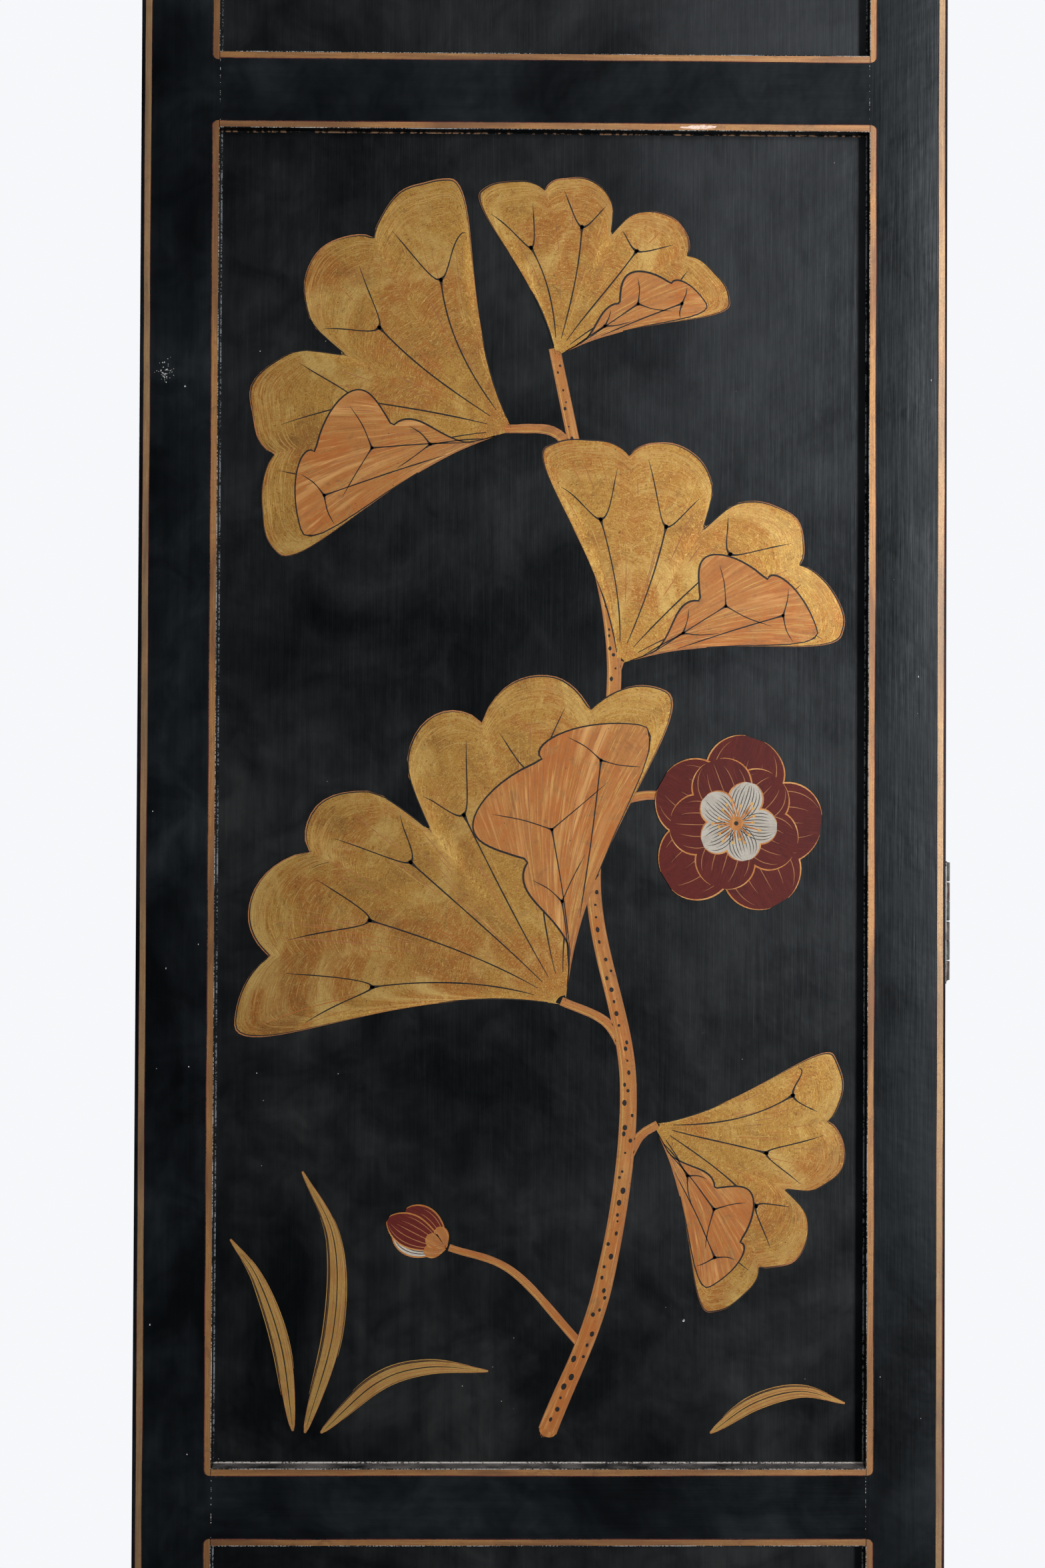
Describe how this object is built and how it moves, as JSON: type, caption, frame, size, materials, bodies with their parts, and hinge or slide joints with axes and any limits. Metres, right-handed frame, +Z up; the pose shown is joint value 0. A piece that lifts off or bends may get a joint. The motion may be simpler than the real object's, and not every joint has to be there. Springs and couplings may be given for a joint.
{
  "type": "folding room divider screen",
  "caption": "Folding room divider: black lacquered frame-and-board leaves with recessed painted fields, joined edge to edge by butt hinges that fold alternate ways.",
  "frame": {"origin": "on the floor, in the middle of the footprint of the screen as it stands", "axes": "+Z up along the leaves; the first leaf faces -Y and its width runs along X; the other leaves zigzag back towards +Y"},
  "size_m": [0.4654, 0.5488, 1.83],
  "materials": {
    "frame_lacquer": "aged black lacquer, satin, clouded and scuffed, with gold border lines",
    "board_lacquer": "aged black lacquer, satin, with gold, copper and red painting",
    "hinge_steel_grey": "dull aged steel",
    "hinge_steel_brown": "dull aged steel with brown lacquer stains"
  },
  "bodies": {
    "leaf_1": {"panel_1_stile_left": "frame_lacquer", "panel_1_stile_right": "frame_lacquer", "panel_1_top_rail": "frame_lacquer", "panel_1_upper_rail": "frame_lacquer", "panel_1_lower_rail": "frame_lacquer", "panel_1_bottom_rail": "frame_lacquer", "panel_1_upper_board": "board_lacquer", "panel_1_main_board": "board_lacquer", "panel_1_lower_board": "board_lacquer", "hinge_1_top_pinned_leaf": "hinge_steel_grey", "hinge_1_middle_pinned_leaf": "hinge_steel_grey", "hinge_1_bottom_pinned_leaf": "hinge_steel_grey"},
    "leaf_2": {"panel_2_stile_left": "frame_lacquer", "panel_2_stile_right": "frame_lacquer", "panel_2_top_rail": "frame_lacquer", "panel_2_upper_rail": "frame_lacquer", "panel_2_lower_rail": "frame_lacquer", "panel_2_bottom_rail": "frame_lacquer", "panel_2_upper_board": "board_lacquer", "panel_2_main_board": "board_lacquer", "panel_2_lower_board": "board_lacquer", "hinge_1_top_free_leaf": "hinge_steel_brown", "hinge_1_middle_free_leaf": "hinge_steel_brown", "hinge_1_bottom_free_leaf": "hinge_steel_brown", "hinge_2_top_free_leaf": "hinge_steel_brown", "hinge_2_middle_free_leaf": "hinge_steel_brown", "hinge_2_bottom_free_leaf": "hinge_steel_brown"},
    "leaf_3": {"panel_3_stile_left": "frame_lacquer", "panel_3_stile_right": "frame_lacquer", "panel_3_top_rail": "frame_lacquer", "panel_3_upper_rail": "frame_lacquer", "panel_3_lower_rail": "frame_lacquer", "panel_3_bottom_rail": "frame_lacquer", "panel_3_upper_board": "board_lacquer", "panel_3_main_board": "board_lacquer", "panel_3_lower_board": "board_lacquer", "hinge_2_top_pinned_leaf": "hinge_steel_grey", "hinge_2_middle_pinned_leaf": "hinge_steel_grey", "hinge_2_bottom_pinned_leaf": "hinge_steel_grey", "hinge_3_top_pinned_leaf": "hinge_steel_grey", "hinge_3_middle_pinned_leaf": "hinge_steel_grey", "hinge_3_bottom_pinned_leaf": "hinge_steel_grey"},
    "leaf_4": {"panel_4_stile_left": "frame_lacquer", "panel_4_stile_right": "frame_lacquer", "panel_4_top_rail": "frame_lacquer", "panel_4_upper_rail": "frame_lacquer", "panel_4_lower_rail": "frame_lacquer", "panel_4_bottom_rail": "frame_lacquer", "panel_4_upper_board": "board_lacquer", "panel_4_main_board": "board_lacquer", "panel_4_lower_board": "board_lacquer", "hinge_3_top_free_leaf": "hinge_steel_brown", "hinge_3_middle_free_leaf": "hinge_steel_brown", "hinge_3_bottom_free_leaf": "hinge_steel_brown"}
  },
  "joints": [
    {"name": "fold_1", "type": "hinge", "parent": "leaf_1", "child": "leaf_2", "pos_m": [0.22936, -0.25325, 0.915], "axis": [0, 0, -1], "range_deg": [-16, 164]},
    {"name": "fold_2", "type": "hinge", "parent": "leaf_2", "child": "leaf_3", "pos_m": [-0.15993, -0.11832, 0.915], "axis": [0, 0, 1], "range_deg": [-52, 128]},
    {"name": "fold_3", "type": "hinge", "parent": "leaf_3", "child": "leaf_4", "pos_m": [0.15973, 0.14162, 0.915], "axis": [0, 0, -1], "range_deg": [-52, 128]}
  ]
}
